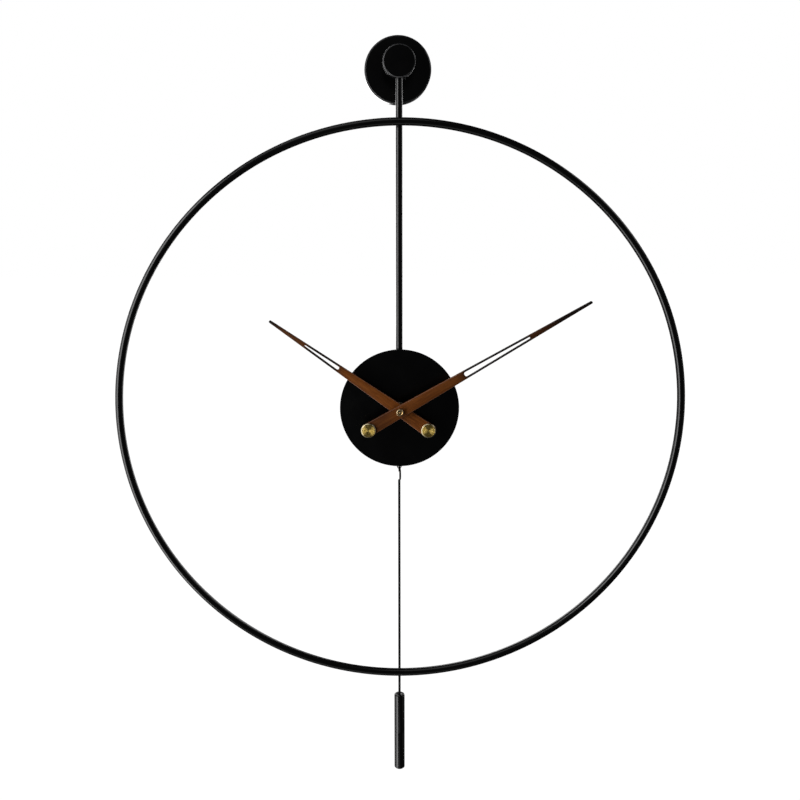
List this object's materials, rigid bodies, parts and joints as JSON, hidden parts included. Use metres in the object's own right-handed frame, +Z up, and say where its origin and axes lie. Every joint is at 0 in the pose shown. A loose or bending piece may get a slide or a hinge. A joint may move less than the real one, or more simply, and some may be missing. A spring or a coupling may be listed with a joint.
{
  "type": "pendulum wall clock",
  "caption": "Open steel ring wall clock on a hanger rod, with a small dial disc, slotted wooden hands and a thin rod pendulum.",
  "frame": {"origin": "centre of the wall plate's back face, on the wall", "axes": "+Z up, the clock faces -Y, the wall is the plane Y = 0"},
  "size_m": [0.6, 0.0903, 0.8086],
  "materials": {
    "powder_black": "fine satin-matte black powder coat",
    "bare_steel": "bright machined steel",
    "brass": "turned brass, clear lacquered",
    "walnut": "oiled walnut, darker on the thin rails",
    "case_black": "moulded black ABS, fine spark texture",
    "acetal": "natural white acetal",
    "rubber": "matt black rubber",
    "copper_wire": "enamelled copper winding",
    "magnet": "sintered magnet",
    "board_green": "green circuit laminate",
    "cell_wrap": "plain battery sleeve, no print"
  },
  "bodies": {
    "wall_mount": {"wall_plate": "bare_steel", "wall_cover": "powder_black", "hanging_peg": "bare_steel"},
    "clock_frame": {"hub": "powder_black", "hub_set_screw": "bare_steel", "hanger_rod": "powder_black", "ring": "powder_black", "dial_disc": "powder_black", "movement_case": "case_black", "movement_lid": "case_black", "battery": "cell_wrap", "battery_contact_positive": "bare_steel", "battery_contact_negative": "bare_steel", "circuit_board": "board_green", "centre_bushing": "brass", "rubber_gasket": "rubber", "fixing_washer": "bare_steel", "fixing_nut": "brass", "stator": "bare_steel", "drive_coil": "copper_wire", "pendulum_coil": "copper_wire", "pendulum_pivot_pin": "bare_steel"},
    "minute_works": {"minute_arbor": "acetal", "minute_hand": "walnut", "minute_hand_collet": "brass", "minute_hand_stud": "brass", "cap_nut": "brass"},
    "hour_works": {"hour_wheel": "acetal", "hour_hand": "walnut", "hour_hand_collet": "brass", "hour_hand_stud": "brass"},
    "motion_work": {"motion_work_wheel": "acetal"},
    "third_wheel": {"third_wheel": "acetal"},
    "fourth_wheel": {"fourth_wheel": "acetal"},
    "setting_knob": {"setting_knob": "acetal"},
    "rotor": {"rotor": "magnet"},
    "pendulum_lever": {"pendulum_lever": "case_black", "pendulum_magnet": "magnet"},
    "pendulum": {"pendulum_hook": "bare_steel", "pendulum_rod": "powder_black", "pendulum_bob": "powder_black"}
  },
  "joints": [
    {"name": "frame_swivel", "type": "hinge", "parent": "wall_mount", "child": "clock_frame", "pos_m": [0, -0.062, 0], "axis": [0, 1, 0], "range_deg": [-10, 10]},
    {"name": "minute_spin", "type": "hinge", "parent": "clock_frame", "child": "minute_works", "pos_m": [0, -0.0865, -0.355], "axis": [0, 1, 0], "continuous": true},
    {"name": "hour_spin", "type": "hinge", "parent": "clock_frame", "child": "hour_works", "pos_m": [0, -0.0795, -0.355], "axis": [0, 1, 0], "continuous": true},
    {"name": "motion_work_spin", "type": "hinge", "parent": "clock_frame", "child": "motion_work", "pos_m": [0.01039, -0.06, -0.349], "axis": [0, 1, 0], "continuous": true},
    {"name": "third_wheel_spin", "type": "hinge", "parent": "clock_frame", "child": "third_wheel", "pos_m": [-0.0072, -0.057, -0.34642], "axis": [0, 1, 0], "continuous": true},
    {"name": "fourth_wheel_spin", "type": "hinge", "parent": "clock_frame", "child": "fourth_wheel", "pos_m": [-0.01678, -0.055, -0.34991], "axis": [0, 1, 0], "continuous": true},
    {"name": "setting_knob_spin", "type": "hinge", "parent": "clock_frame", "child": "setting_knob", "pos_m": [0.02239, -0.052, -0.349], "axis": [0, 1, 0], "continuous": true},
    {"name": "rotor_spin", "type": "hinge", "parent": "clock_frame", "child": "rotor", "pos_m": [-0.017, -0.0515, -0.337], "axis": [0, 1, 0], "continuous": true},
    {"name": "pendulum_swing", "type": "hinge", "parent": "clock_frame", "child": "pendulum_lever", "pos_m": [0, -0.054, -0.393], "axis": [0, 1, 0], "range_deg": [-6, 6]},
    {"name": "pendulum_hang", "type": "hinge", "parent": "pendulum_lever", "child": "pendulum", "pos_m": [0, -0.054, -0.4226], "axis": [1, 0, 0], "range_deg": [-2, 5]}
  ],
  "couplings": [
    {"joint": "hour_spin", "follows": "minute_spin", "ratio": 0.083333},
    {"joint": "motion_work_spin", "follows": "minute_spin", "ratio": -0.33333},
    {"joint": "setting_knob_spin", "follows": "minute_spin", "ratio": 1},
    {"joint": "third_wheel_spin", "follows": "minute_spin", "ratio": -6},
    {"joint": "fourth_wheel_spin", "follows": "minute_spin", "ratio": 45}
  ]
}
